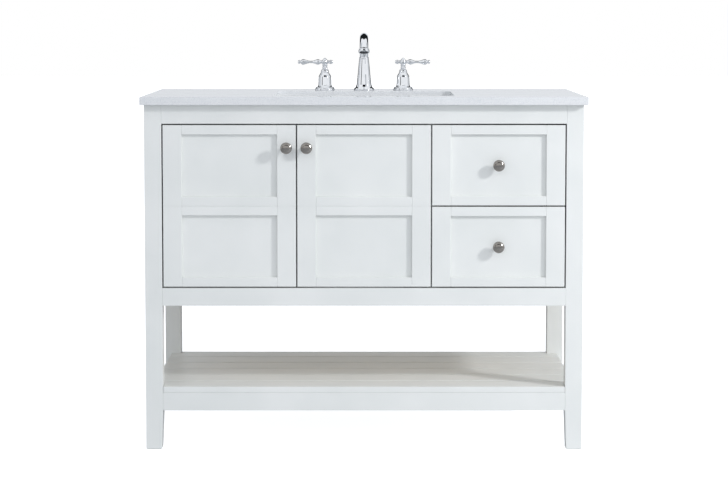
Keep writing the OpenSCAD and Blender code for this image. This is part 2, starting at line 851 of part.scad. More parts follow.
// The pair of slides beside one drawer box
module slide_pair(z) {
    translate([bay_w / 2 + partition_t / 2, slide_y, z]) children();
    translate([open_w / 2, slide_y, z]) mirror([1, 0, 0]) children();
}

module outer_slides() {
    color("lightgray") for (z = [upper_slide_z, lower_slide_z])
        slide_pair(z) channel(0, slide_w - outer_short, slide_h, slide_len);
}

module middle_slides(z) {
    color("lightgray") slide_pair(z)
        channel(slide_t + ball_gap, slide_w - middle_short, middle_h, slide_len);
}

module inner_slides(z) {
    color("silver") slide_pair(z) channel(slide_w, slide_w - inner_depth, inner_h, slide_len);
}

// ---- hinges ----
// Seen from above, the door's edge, its cup pin, the arm's pin and the elbow between the lever and
// the link make a parallelogram, so the lever turns with the door and the link keeps its direction.

// From the door's edge and front face to the pin in the cup
cup_pin = [30, 16];
// From the door's edge and front face to the pin in the arm
arm_pin = [18, 26];
elbow = cup_pin + arm_pin;
hinge_pin_d = 3;
hinge_pin_clear = 0.05;
elbow_clear = 0.3;
eye_d = 6;
bar_w = 5;
lever_t = 5;
link_t = 3;
link_gap = 0.5;
arm_behind = 3.5;
arm_y = front_t + arm_behind;
arm_len = leg - arm_y;
arm_h = 14;
arm_base_h = 46;
arm_base_t = 2.5;
arm_tip = arm_pin[0] + eye_d / 2;
fork_room = 1.5;
pin_cut = 20;

// A flat bar between the middles of two eyes
module bar(from, to, z, t) {
    way = to - from;
    translate([from[0], from[1], z]) {
        cylinder(d = eye_d, h = t);
        rotate(atan2(way[1], way[0])) block([0, -bar_w / 2, 0], [norm(way), bar_w, t]);
    }
    translate([to[0], to[1], z]) cylinder(d = eye_d, h = t);
}

// A pin's hole at a point
module pin_hole(at, clear) {
    translate([at[0], at[1], -pin_cut]) cylinder(d = hinge_pin_d + 2 * clear, h = 2 * pin_cut);
}

// One arm, a fork round the lever; gap is the way from its mounting face to the door's edge
module hinge_arm(gap) {
    difference() {
        union() {
            block([-gap, arm_y, -arm_base_h / 2], [arm_base_t, arm_len, arm_base_h]);
            block([-gap, arm_y, -arm_h / 2], [gap + arm_tip, arm_len, arm_h]);
        }
        block([arm_pin[0] - eye_d / 2 - fork_room, arm_y - 1, -lever_t / 2 - link_gap],
              [eye_d + fork_room + 1, arm_len + 2, lever_t + 2 * link_gap]);
    }
    translate([arm_pin[0], arm_pin[1], -arm_h / 2]) cylinder(d = hinge_pin_d, h = arm_h);
}

module hinge_lever() {
    difference() {
        bar(arm_pin, elbow, -lever_t / 2, lever_t);
        pin_hole(arm_pin, hinge_pin_clear);
    }
    translate([elbow[0], elbow[1], 0]) cylinder(d = hinge_pin_d, h = lever_t / 2 + link_gap + link_t);
}

module hinge_link() {
    difference() {
        bar(cup_pin, elbow, lever_t / 2 + link_gap, link_t);
        pin_hole(cup_pin, hinge_pin_clear);
        pin_hole(elbow, elbow_clear);
    }
}

// The children at both hinges of the left door, or of the right door
module at_left_hinges() {
    for (z = hinge_z) translate([left_door_x, y_front, z]) children();
}

module at_right_hinges() {
    for (z = hinge_z) translate([middle_w / 2, y_front, z]) mirror([1, 0, 0]) children();
}

module hinge_arms() {
    color("lightgray") {
        at_left_hinges() hinge_arm(front_gap);
        at_right_hinges() hinge_arm((front_gap - partition_t) / 2);
    }
}

leg_part(-1, -1);  // leg_front_left
leg_part(1, -1);  // leg_front_right
leg_part(-1, 1);  // leg_back_left
leg_part(1, 1);  // leg_back_right
leg_levellers();
case_rails();
side_rails();
side_panels();
back_panel();
cabinet_floor();
partition();
slide_spacers();
shelf_rails();
shelf_slats();
countertop();
sink_basin();
drain_flange();
drain_tailpiece();
drain_stopper();
spout();
spout_aerator();
handle_bases();
tap_valves();
mounting_nuts();
handle(-1);  // handle_left
handle(1);  // handle_right
hinge_arms();
outer_slides();
at_left_door() door_stiles(door_w, true);  // left_door_stiles
at_left_door() door_rails(door_w);  // left_door_rails
at_left_door() door_panels(door_w);  // left_door_panels
at_left_door() door_knob(door_w, true);  // left_door_knob
at_left_door() door_hinge_cups(door_w, true);  // left_door_hinge_cups
color("silver") at_left_hinges() hinge_lever();  // left_door_hinge_levers
color("silver") at_left_hinges() hinge_link();  // left_door_hinge_links
at_right_door() door_stiles(middle_w, false);  // right_door_stiles
at_right_door() door_rails(middle_w);  // right_door_rails
at_right_door() door_panels(middle_w);  // right_door_panels
at_right_door() door_knob(middle_w, false);  // right_door_knob
at_right_door() door_hinge_cups(middle_w, false);  // right_door_hinge_cups
color("silver") at_right_hinges() hinge_lever();  // right_door_hinge_levers
color("silver") at_right_hinges() hinge_link();  // right_door_hinge_links
drawer_stiles(upper_z);  // upper_drawer_stiles
drawer_rails(upper_z);  // upper_drawer_rails
drawer_panel(upper_z);  // upper_drawer_panel
drawer_knob(upper_z, drawer_screw(upper_z, upper_box_z, upper_box_h));  // upper_drawer_knob
box_sides(upper_box_z, upper_box_h);  // upper_drawer_sides
box_ends(upper_box_z, upper_box_h, upper_z);  // upper_drawer_ends
box_bottom(upper_box_z);  // upper_drawer_bottom
inner_slides(upper_slide_z);  // upper_inner_slides
middle_slides(upper_slide_z);  // upper_middle_slides
drawer_stiles(door_z);  // lower_drawer_stiles
drawer_rails(door_z);  // lower_drawer_rails
drawer_panel(door_z);  // lower_drawer_panel
drawer_knob(door_z, drawer_screw(door_z, lower_box_z, lower_box_h));  // lower_drawer_knob
box_sides(lower_box_z, lower_box_h);  // lower_drawer_sides
box_ends(lower_box_z, lower_box_h, door_z);  // lower_drawer_ends
box_bottom(lower_box_z);  // lower_drawer_bottom
inner_slides(lower_slide_z);  // lower_inner_slides
middle_slides(lower_slide_z);  // lower_middle_slides
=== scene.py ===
import math

import bmesh
import bpy
from mathutils import Matrix, Vector


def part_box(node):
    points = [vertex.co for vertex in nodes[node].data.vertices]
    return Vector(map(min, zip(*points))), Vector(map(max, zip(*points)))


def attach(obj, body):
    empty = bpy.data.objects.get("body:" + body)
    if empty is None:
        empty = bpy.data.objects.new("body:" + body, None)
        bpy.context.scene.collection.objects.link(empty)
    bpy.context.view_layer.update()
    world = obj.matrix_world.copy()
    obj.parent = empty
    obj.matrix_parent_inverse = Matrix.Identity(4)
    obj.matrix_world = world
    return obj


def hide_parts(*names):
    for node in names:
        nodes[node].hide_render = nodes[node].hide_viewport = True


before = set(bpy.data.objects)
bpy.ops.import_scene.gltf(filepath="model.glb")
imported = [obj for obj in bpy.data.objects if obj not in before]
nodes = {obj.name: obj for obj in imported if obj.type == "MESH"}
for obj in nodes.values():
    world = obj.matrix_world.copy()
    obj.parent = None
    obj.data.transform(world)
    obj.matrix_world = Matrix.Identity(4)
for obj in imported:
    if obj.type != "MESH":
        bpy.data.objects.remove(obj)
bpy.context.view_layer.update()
scene = bpy.context.scene
mm = 0.001
xAxis, zAxis = Vector((1, 0, 0)), Vector((0, 0, 1))
print("frame loaded:", len(nodes), "nodes")


# ---- small helpers ----

def linear(hexColour):
    # sRGB hex to the linear colour that shaders take
    parts = [int(hexColour[i:i + 2], 16) / 255 for i in (1, 3, 5)]
    return tuple(c / 12.92 if c <= 0.04045 else ((c + 0.055) / 1.055) ** 2.4 for c in parts) + (1.0,)


def addNode(tree, kind, settings=None, links=None, stops=()):
    # one node: its attributes, its sockets as values or as other nodes' outputs, and a ramp's stops
    node = tree.nodes.new("ShaderNode" + kind)
    for name, value in (settings or {}).items():
        setattr(node, name, value)
    for name, value in (links or {}).items():
        if isinstance(value, bpy.types.NodeSocket):
            tree.links.new(value, node.inputs[name])
        else:
            node.inputs[name].default_value = value
    for i, (position, colour) in enumerate(stops):
        if i > 1:
            node.color_ramp.elements.new(position)
        node.color_ramp.elements[i].position = position
        node.color_ramp.elements[i].color = linear(colour)
    return node


def newFinish(name, **sockets):
    # a material with one principled shader; returns it with its tree, shader and object coordinates
    finish = bpy.data.materials.new(name)
    finish.use_nodes = True
    tree = finish.node_tree
    tree.nodes.clear()
    values = {key.replace("_", " "): value for key, value in sockets.items()}
    shader = addNode(tree, "BsdfPrincipled", links=values)
    addNode(tree, "OutputMaterial", links={"Surface": shader.outputs["BSDF"]})
    place = addNode(tree, "TexCoord")
    return finish, tree, shader, place


def perMetre(sizeMm):
    # a pattern's scale from the real size of one of its features
    return 1000 / sizeMm


# ---- finishes ----

paint = {
    "colour": "#EEEFEC",
    "shade": "#E7E9E6",
    "roughness": 0.36,
    "cloudMm": 140,
    "peelMm": 5,  # the real one is about 2 mm, drawn coarser so that it shows
    "peelDepth": 0.010 * mm,
    "grainMm": 2.4,
    "grainLengthMm": 110,
    "grainDepth": 0.018 * mm,
}


def sprayedLacquer(name, along=None):
    # satin white lacquer, sprayed: a soft even sheen with orange peel, and on solid wood a hint of grain
    finish, tree, shader, place = newFinish(name, Roughness=paint["roughness"], IOR=1.5)
    where = place.outputs["Object"]
    cloud = addNode(tree, "TexNoise", links={"Vector": where, "Scale": perMetre(paint["cloudMm"]),
                                             "Detail": 2.0})
    tint = addNode(tree, "ValToRGB", links={"Fac": cloud.outputs["Fac"]},
                   stops=[(0.3, paint["shade"]), (0.7, paint["colour"])])
    tree.links.new(tint.outputs["Color"], shader.inputs["Base Color"])
    peel = addNode(tree, "TexNoise", links={"Vector": where, "Scale": perMetre(paint["peelMm"]),
                                            "Detail": 1.0})
    bump = addNode(tree, "Bump", links={"Height": peel.outputs["Fac"], "Distance": paint["peelDepth"]})
    if along is not None:
        scale = [perMetre(paint["grainMm"])] * 3
        scale[along] = perMetre(paint["grainLengthMm"])
        stretch = addNode(tree, "Mapping", links={"Vector": where, "Scale": scale})
        grain = addNode(tree, "TexNoise", links={"Vector": stretch.outputs["Vector"], "Scale": 1.0,
                                                 "Detail": 3.0})
        bump = addNode(tree, "Bump", links={"Height": grain.outputs["Fac"], "Distance": paint["grainDepth"],
                                            "Normal": bump.outputs["Normal"]})
    tree.links.new(bump.outputs["Normal"], shader.inputs["Normal"])
    return finish


birch = {
    "light": "#E3D2B2",
    "dark": "#CDB28A",
    "core": "#B08C5C",
    "glue": "#8A6A42",
    "figureMm": 9,
    "figureLengthMm": 260,
    "poreMm": 0.9,
    "plyMm": 2.4,  # two plies of the real 1.2 mm, so that they show
    "roughness": 0.42,
}


def birchPlywood(name, thin, along, paintedAbove=False):
    # lacquered birch ply: pale veneer with faint streaks on its faces, striped plies on its edges
    finish, tree, shader, place = newFinish(name, Roughness=birch["roughness"], IOR=1.5)
    where = place.outputs["Object"]
    scale = [perMetre(birch["figureMm"])] * 3
    scale[along] = perMetre(birch["figureLengthMm"])
    stretch = addNode(tree, "Mapping", links={"Vector": where, "Scale": scale})
    figure = addNode(tree, "TexNoise", links={"Vector": stretch.outputs["Vector"], "Scale": 1.0,
                                              "Detail": 6.0, "Roughness": 0.62, "Distortion": 0.6})
    veneer = addNode(tree, "ValToRGB", links={"Fac": figure.outputs["Fac"]},
                     stops=[(0.34, birch["dark"]), (0.62, birch["light"])])
    parts = addNode(tree, "SeparateXYZ", links={"Vector": where})
    plies = addNode(tree, "Math", {"operation": "MULTIPLY"},
                    {0: parts.outputs[thin], 1: perMetre(birch["plyMm"]) * math.pi})
    wave = addNode(tree, "Math", {"operation": "SINE"}, {0: plies.outputs[0]})
    edge = addNode(tree, "ValToRGB", links={"Fac": wave.outputs[0]},
                   stops=[(0.0, birch["glue"]), (0.22, birch["core"]), (0.6, birch["light"])])
    facing = addNode(tree, "SeparateXYZ", links={"Vector": place.outputs["Normal"]})
    size = addNode(tree, "Math", {"operation": "ABSOLUTE"}, {0: facing.outputs[thin]})
    isFace = addNode(tree, "Math", {"operation": "GREATER_THAN"}, {0: size.outputs[0], 1: 0.7})
    colour = addNode(tree, "Mix", {"data_type": "RGBA"},
                     {0: isFace.outputs[0], 6: edge.outputs["Color"], 7: veneer.outputs["Color"]})
    if paintedAbove:  # the upper face is lacquered white and the underside left clear
        isTop = addNode(tree, "Math", {"operation": "GREATER_THAN"}, {0: facing.outputs[thin], 1: 0.5})
        colour = addNode(tree, "Mix", {"data_type": "RGBA"},
                         {0: isTop.outputs[0], 6: colour.outputs[2], 7: linear(paint["colour"])})
    tree.links.new(colour.outputs[2], shader.inputs["Base Color"])
    pores = addNode(tree, "TexNoise", links={"Vector": stretch.outputs["Vector"], "Detail": 2.0,
                                             "Scale": birch["figureMm"] / birch["poreMm"]})
    bump = addNode(tree, "Bump", links={"Height": pores.outputs["Fac"], "Distance": 0.03 * mm})
    tree.links.new(bump.outputs["Normal"], shader.inputs["Normal"])
    return finish


quartz = {
    "colour": "#E4E5E6",
    "fleck": "#DCDEE0",
    "bright": "#EAEBEB",
    "fleckMm": 2.2,  # crushed quartz of 0.5 to 1.5 mm, drawn a little coarser
    "cloudMm": 60,
    "roughness": 0.14,
    "haze": 0.03,
}


def polishedQuartz():
    # engineered quartz, polished: near white with fine grey and bright flecks under a clear gloss
    finish, tree, shader, place = newFinish("polishedQuartz", IOR=1.54)
    where = place.outputs["Object"]
    grit = addNode(tree, "TexVoronoi", links={"Vector": where, "Scale": perMetre(quartz["fleckMm"])})
    flecks = addNode(tree, "ValToRGB", links={"Fac": grit.outputs["Color"]},
                     stops=[(0.12, quartz["fleck"]), (0.34, quartz["colour"]), (0.92, quartz["bright"])])
    cloud = addNode(tree, "TexNoise", links={"Vector": where, "Scale": perMetre(quartz["cloudMm"]),
                                             "Detail": 3.0})
    soft = addNode(tree, "ValToRGB", links={"Fac": cloud.outputs["Fac"]},
                   stops=[(0.3, "#FBFBFB"), (0.7, "#FFFFFF")])
    colour = addNode(tree, "Mix", {"data_type": "RGBA", "blend_type": "MULTIPLY"},
                     {0: 1.0, 6: flecks.outputs["Color"], 7: soft.outputs["Color"]})
    tree.links.new(colour.outputs[2], shader.inputs["Base Color"])
    gloss = addNode(tree, "MapRange", links={"Value": cloud.outputs["Fac"],
                                             "To Min": quartz["roughness"] - quartz["haze"],
                                             "To Max": quartz["roughness"] + quartz["haze"]})
    tree.links.new(gloss.outputs["Result"], shader.inputs["Roughness"])
    return finish


china = {"colour": "#F4F5F4", "pool": "#ECEFEF", "roughness": 0.07, "waveMm": 32, "waveDepth": 0.05 * mm}


def glazedChina():
    # vitreous china with a fired glaze: glassy, with slow waves in its reflections
    finish, tree, shader, place = newFinish("glazedChina", Roughness=china["roughness"], IOR=1.52,
                                            Coat_Weight=0.35, Coat_Roughness=0.03)
    where = place.outputs["Object"]
    wave = addNode(tree, "TexNoise", links={"Vector": where, "Scale": perMetre(china["waveMm"]),
                                            "Detail": 1.0})
    tint = addNode(tree, "ValToRGB", links={"Fac": wave.outputs["Fac"]},
                   stops=[(0.3, china["pool"]), (0.65, china["colour"])])
    tree.links.new(tint.outputs["Color"], shader.inputs["Base Color"])
    bump = addNode(tree, "Bump", links={"Height": wave.outputs["Fac"], "Distance": china["waveDepth"]})
    tree.links.new(bump.outputs["Normal"], shader.inputs["Normal"])
    return finish


metals = {
    # colours, roughness from and to, size of the surface marks in mm and their depth
    # plated over polished brass: mirror bright, with the faintest haze
    "polishedChrome": ("#F0F2F5", "#E9ECEF", 0.02, 0.05, 14, 0.004 * mm),
    # plated and lightly brushed: a warm grey with soft highlights
    "satinNickel": ("#9C9893", "#8E8A85", 0.13, 0.21, 5, 0.004 * mm),
    # bright zinc plating: pale, with cloudy crystals
    "zincPlatedSteel": ("#C3C7CA", "#A9AFB5", 0.27, 0.44, 3.5, 0.010 * mm),
    # turned brass: yellow, with fine tool marks
    "machinedBrass": ("#C9A55C", "#B8924B", 0.18, 0.32, 4, 0.006 * mm),
}


def metal(name, ringMm=0):
    # a metal whose sheen clouds slightly; ringMm adds turning marks round the object's own axis
    first, second, smooth, rough, markMm, depth = metals[name]
    finish, tree, shader, place = newFinish(name, Metallic=1.0)
    where = place.outputs["Object"]
    cloud = addNode(tree, "TexNoise", links={"Vector": where, "Scale": perMetre(markMm), "Detail": 3.0})
    tint = addNode(tree, "ValToRGB", links={"Fac": cloud.outputs["Fac"]},
                   stops=[(0.35, second), (0.65, first)])
    tree.links.new(tint.outputs["Color"], shader.inputs["Base Color"])
    haze = addNode(tree, "MapRange", links={"Value": cloud.outputs["Fac"], "From Min": 0.3, "From Max": 0.7,
                                            "To Min": smooth, "To Max": rough})
    tree.links.new(haze.outputs["Result"], shader.inputs["Roughness"])
    marks = cloud.outputs["Fac"]
    if ringMm:
        parts = addNode(tree, "SeparateXYZ", links={"Vector": where})
        flat = addNode(tree, "CombineXYZ", links={"X": parts.outputs["X"], "Y": parts.outputs["Y"]})
        radius = addNode(tree, "VectorMath", {"operation": "LENGTH"}, {0: flat.outputs[0]})
        turns = addNode(tree, "CombineXYZ", links={"X": radius.outputs["Value"], "Y": parts.outputs["Z"]})
        marks = addNode(tree, "TexNoise", links={"Vector": turns.outputs[0], "Scale": perMetre(ringMm),
                                                 "Detail": 2.0}).outputs["Fac"]
    bump = addNode(tree, "Bump", links={"Height": marks, "Distance": depth})
    tree.links.new(bump.outputs["Normal"], shader.inputs["Normal"])
    return finish


plastics = {
    # colour, roughness, subsurface weight, grit size in mm
    "mouldedNylon": ("#5B5D60", 0.48, 0.0, 1.2),
    "aeratorPlastic": ("#2B2C2E", 0.35, 0.0, 1.0),
    "siliconeSealant": ("#E9E9E5", 0.32, 0.15, 3.0),
    "clearBumper": ("#DDE1E2", 0.22, 0.4, 2.0),
}


def moulded(name):
    # moulded or gunned polymer: one colour, slightly mottled, with a fine skin
    colour, roughness, depth, gritMm = plastics[name]
    finish, tree, shader, place = newFinish(name, Roughness=roughness, IOR=1.46, Subsurface_Weight=depth,
                                            Subsurface_Radius=(0.004, 0.004, 0.004), Subsurface_Scale=1.0)
    where = place.outputs["Object"]
    grit = addNode(tree, "TexNoise", links={"Vector": where, "Scale": perMetre(gritMm), "Detail": 2.0})
    base = linear(colour)
    tint = addNode(tree, "MixRGB", {"blend_type": "MULTIPLY"},
                   {"Fac": 0.12, "Color1": base, "Color2": grit.outputs["Color"]})
    tree.links.new(tint.outputs["Color"], shader.inputs["Base Color"])
    bump = addNode(tree, "Bump", links={"Height": grit.outputs["Fac"], "Distance": 0.02 * mm})
    tree.links.new(bump.outputs["Normal"], shader.inputs["Normal"])
    return finish


paintAlong = [sprayedLacquer(f"sprayedLacquerOnWood{axis}", i) for i, axis in enumerate("XYZ")]
paintBoard = sprayedLacquer("sprayedLacquerOnBoard")
plySide = birchPlywood("birchPlywoodSide", thin=0, along=1)
plyEnd = birchPlywood("birchPlywoodEnd", thin=1, along=0)
plyBottom = birchPlywood("birchPlywoodBottom", thin=2, along=1)
plyFloor = birchPlywood("lacqueredPlywoodFloor", thin=2, along=0, paintedAbove=True)
stone = polishedQuartz()
glaze = glazedChina()
chrome = metal("polishedChrome")
nickel = metal("satinNickel", ringMm=0.7)
zinc = metal("zincPlatedSteel")
brass = metal("machinedBrass", ringMm=0.8)
nylon, aeratorPlastic, sealant, bumperPlastic = [moulded(name) for name in plastics]
print("finishes made")


# ---- mesh helpers ----

def rounded(points, steps=6):
    # an outline of (x, y, radius) with each corner turned into an arc; the radius is cut to what fits
    outline = []
    for i, (x, y, radius) in enumerate(points):
        corner = Vector((x, y))
        if i in (0, len(points) - 1) or radius <= 0:
            outline.append(corner)
            continue
        before, after = (Vector(points[j][:2]) - corner for j in (i - 1, i + 1))
        half = before.angle(after) / 2
        room = 0.49 * min(before.length, after.length)
        if math.pi / 2 - half < 0.01:
            outline.append(corner)
            continue
        cut = min(radius / math.tan(half), room)
        start, end = corner + before.normalized() * cut, corner + after.normalized() * cut
        middle = corner + (before.normalized() + after.normalized()).normalized() * (cut / math.cos(half))
        first, last = start - middle, end - middle
        turn = first.angle_signed(last)
        for step in range(steps + 1):
            spin = Matrix.Rotation(-turn * step / steps, 2)
            outline.append(middle + spin @ first)
    return outline


def skin(rings, closed=True):
    # a surface over rings of points; a ring of one point closes that end
    mesh = bmesh.new()
    made = [[mesh.verts.new(p) for p in ring] for ring in rings]
    for low, high in zip(made, made[1:]):
        count = max(len(low), len(high))
        for i in range(count if closed else count - 1):
            j = (i + 1) % count
            corners = []
            for vertex in (low[i % len(low)], low[j % len(low)], high[j % len(high)], high[i % len(high)]):
                if vertex not in corners:
                    corners.append(vertex)
            if len(corners) > 2:
                mesh.faces.new(corners)
    bmesh.ops.recalc_face_normals(mesh, faces=mesh.faces)
    return mesh


def turned(points, segments=72, steps=6):
    # a turned piece about +Z from (radius, height, corner radius) points in mm
    rings = []
    for radius, height in rounded(points, steps):
        if radius < 0.001:
            rings.append([Vector((0, 0, height * mm))])
            continue
        ring = []
        for i in range(segments):
            angle = 2 * math.pi * i / segments
            ring.append(Vector((radius * math.cos(angle), radius * math.sin(angle), height)) * mm)
        rings.append(ring)
    return skin(rings)


def tube(path, radii, segments=48):
    # a round tube along points that lie in one plane across X
    rings = []
    for i, point in enumerate(path):
        forward = (path[min(i + 1, len(path) - 1)] - path[max(i - 1, 0)]).normalized()
        side = xAxis
        up = forward.cross(side)
        ring = []
        for j in range(segments):
            angle = 2 * math.pi * j / segments
            ring.append(point + (side * math.cos(angle) + up * math.sin(angle)) * radii[i])
        rings.append(ring)
    return rings


def joined(*parts):
    # several (mesh, matrix) pairs as one mesh
    whole = bmesh.new()
    for part, matrix in parts:
        single = bpy.data.meshes.new("part")
        part.to_mesh(single)
        single.transform(matrix)
        whole.from_mesh(single)
        bpy.data.meshes.remove(single)
    return whole


def makePiece(name, mesh, finish, body, matrix=Matrix.Identity(4), sharp=32, replaced=()):
    # a named piece that rides on its body and takes the finish it is given
    data = bpy.data.meshes.new(name)
    mesh.to_mesh(data)
    data.shade_smooth()
    data.set_sharp_from_angle(angle=math.radians(sharp))
    data.materials.append(finish)
    piece = bpy.data.objects.new(name, data)
    scene.collection.objects.link(piece)
    piece.matrix_world = matrix
    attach(piece, body)
    if replaced:
        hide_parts(*replaced)
    return piece


def markOutwardEdges(data, sharpest):
    # a bevel weight on the edges that stick out, so that grooves and inner corners stay crisp
    def key(first, second):
        return frozenset(tuple(round(c * 2e5) for c in point) for point in (first, second))

    whole = bmesh.new()
    whole.from_mesh(data)
    bmesh.ops.remove_doubles(whole, verts=whole.verts, dist=0.002 * mm)
    outward, creased = set(), set()
    for edge in whole.edges:
        if len(edge.link_faces) != 2:
            continue
        turn = edge.calc_face_angle_signed(0)
        ends = key(edge.verts[0].co, edge.verts[1].co)
        if turn > sharpest:
            outward.add(ends)
        elif abs(turn) > math.radians(25):
            creased.add(ends)
    whole.free()
    weights = data.attributes.new("bevel_weight_edge", "FLOAT", "EDGE").data
    for edge in data.edges:
        ends = key(*[data.vertices[i].co for i in edge.vertices])
        weights[edge.index].value = 1.0 if ends in outward else 0.0
        edge.use_edge_sharp = ends in creased


def dressNode(name, finish, edge=0.8, segments=3):
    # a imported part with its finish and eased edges; edge is in mm
    node = nodes[name]
    node.data.materials.clear()
    node.data.materials.append(finish)
    weld = node.modifiers.new("weld", "WELD")
    weld.merge_threshold = 0.002 * mm
    flat = node.modifiers.new("flat", "DECIMATE")
    flat.decimate_type = "DISSOLVE"
    flat.angle_limit = math.radians(0.6)
    if edge:
        ease = node.modifiers.new("ease", "BEVEL")
        ease.width = edge * mm
        ease.segments = segments
        ease.limit_method = "WEIGHT"
        markOutwardEdges(node.data, math.radians(48))
        ease.use_clamp_overlap = False
    smooth = node.modifiers.new("smooth", "WEIGHTED_NORMAL")
    smooth.keep_sharp = True
    smooth.weight = 100
    for face in node.data.polygons:
        face.use_smooth = True


def middleOf(name):
    low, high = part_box(name)
    return (low + high) / 2


def placed(x, y, z, rotation=None):
    # a matrix that puts a piece at a point in metres
    return Matrix.Translation((x, y, z)) @ (rotation or Matrix.Identity(4))


towardsFront = Matrix.Rotation(math.radians(90), 4, "X")  # turns +Z to face the front, -Y
towardsBack = Matrix.Rotation(math.radians(-90), 4, "X")
towardsRight = Matrix.Rotation(math.radians(90), 4, "Y")
towardsLeft = Matrix.Rotation(math.radians(-90), 4, "Y")
downwards = Matrix.Rotation(math.radians(180), 4, "X")


# ---- camera, lights and floor ----

view = {"lens": 102.35, "shift": -0.1, "pitch": 4.265, "distance": 4.93, "height": 1.0445}


def addCamera():
    data = bpy.data.cameras.new("camera")
    data.lens = view["lens"]
    data.shift_y = view["shift"]
    camera = bpy.data.objects.new("camera", data)
    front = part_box("case_rails")[0].y
    camera.location = (0, front - view["distance"], view["height"])
    camera.rotation_euler = (math.radians(90 - view["pitch"]), 0, 0)
    scene.collection.objects.link(camera)
    scene.camera = camera


studio = {
    "background": "#FFFFFF",
    # radiance of the sky overhead, and how much it gains towards the right, the front and the top
    "sky": {"level": 0.715, "right": 0.06, "front": 0.36, "top": -0.12, "tint": "#F4F8FF"},
    "lamps": {
        # place, size in metres, power in watts, colour
        "keyLamp": ((3.0, -1.95, 2.2), 0.42, 66, "#FCFDFF"),
    },
    "aim": (0.0, 0.0, 0.5),
    # what polished metal sees: middle azimuth and elevation, half sizes, softness (degrees), colour
    "open": "#FAFBFD",
    "low": "#C9CED4",
    "patches": [
        (0, 34, 22, 14, 4, "#0E0F10"),
        (-48, 12, 6, 16, 3, "#0C0D0E"),
        (30, 24, 10, 13, 6, "#8B9198"),
        (-96, 10, 9, 40, 5, "#A8AFB7"),
        (100, 5, 6, 40, 5, "#7F858C"),
        (143, 0, 19, 32, 5, "#101113"),
        (-143, 0, 19, 32, 5, "#101113"),
        (180, 8, 20, 18, 6, "#E5E8EC"),
        (-180, 8, 20, 18, 6, "#E5E8EC"),
        (180, 54, 50, 27, 6, "#1B1D1F"),
        (-180, 54, 50, 27, 6, "#1B1D1F"),
    ],
}


def addLamps():
    for name, (place, size, power, colour) in studio["lamps"].items():
        lamp = bpy.data.lights.new(name, "AREA")
        lamp.shape = "DISK"
        lamp.size = size
        lamp.energy = power
        lamp.color = linear(colour)[:3]
        holder = bpy.data.objects.new(name, lamp)
        holder.location = place
        aim = Vector(studio["aim"]) - Vector(place)
        holder.rotation_euler = aim.to_track_quat("-Z", "Y").to_euler()
        scene.collection.objects.link(holder)


def addSurroundings():
    # white where the camera looks, a soft sky for light, and a studio with dark flags in reflections
    world = bpy.data.worlds.new("studioWorld")
    scene.world = world
    world.use_nodes = True
    tree = world.node_tree
    tree.nodes.clear()
    way = addNode(tree, "TexCoord").outputs["Generated"]
    parts = addNode(tree, "SeparateXYZ", links={"Vector": way})

    def calculate(operation, *values):
        return addNode(tree, "Math", {"operation": operation}, dict(enumerate(values))).outputs[0]

    sky = studio["sky"]
    level = calculate("MULTIPLY_ADD", parts.outputs["X"], sky["right"], sky["level"])
    level = calculate("MULTIPLY_ADD", parts.outputs["Y"], -sky["front"], level)
    level = calculate("MULTIPLY_ADD", parts.outputs["Z"], sky["top"], level)
    skyLight = addNode(tree, "VectorMath", {"operation": "SCALE"},
                       {0: linear(sky["tint"])[:3], "Scale": level}).outputs[0]
    azimuth = calculate("ARCTAN2", parts.outputs["X"], calculate("MULTIPLY", parts.outputs["Y"], -1.0))
    elevation = calculate("ARCSINE", parts.outputs["Z"])

    def within(angle, middle, half, soft):
        # one inside the band of angles, falling to nothing over its soft edge
        off = calculate("ABSOLUTE", calculate("SUBTRACT", angle, math.radians(middle)))
        start, end = math.radians(half - soft / 2), math.radians(half + soft / 2)
        return addNode(tree, "MapRange", {"interpolation_type": "SMOOTHSTEP"}, {
            "Value": off, "From Min": start, "From Max": end, "To Min": 1.0, "To Max": 0.0}).outputs["Result"]

    rise = addNode(tree, "MapRange", links={"Value": parts.outputs["Z"], "From Min": -0.5, "From Max": -0.06})
    mirrored = addNode(tree, "Mix", {"data_type": "RGBA"}, {
        0: rise.outputs["Result"], 6: linear(studio["low"]), 7: linear(studio["open"])}).outputs[2]
    for middle, height, half, tall, soft, colour in studio["patches"]:
        across = within(azimuth, middle, half, soft)
        mask = calculate("MULTIPLY", across, within(elevation, height, tall, soft))
        mirrored = addNode(tree, "Mix", {"data_type": "RGBA"},
                           {0: mask, 6: mirrored, 7: linear(colour)}).outputs[2]
    ray = addNode(tree, "LightPath")
    seen = addNode(tree, "Mix", {"data_type": "RGBA"},
                   {0: ray.outputs["Is Glossy Ray"], 6: skyLight, 7: mirrored}).outputs[2]
    shown = addNode(tree, "Mix", {"data_type": "RGBA"},
                    {0: ray.outputs["Is Camera Ray"], 6: seen, 7: linear(studio["background"])}).outputs[2]
    light = addNode(tree, "Background", links={"Color": shown})
    addNode(tree, "OutputWorld", links={"Surface": light.outputs["Background"]})


floor = {"size": 30.0, "colour": "#DFE1E3", "glow": 0.86}


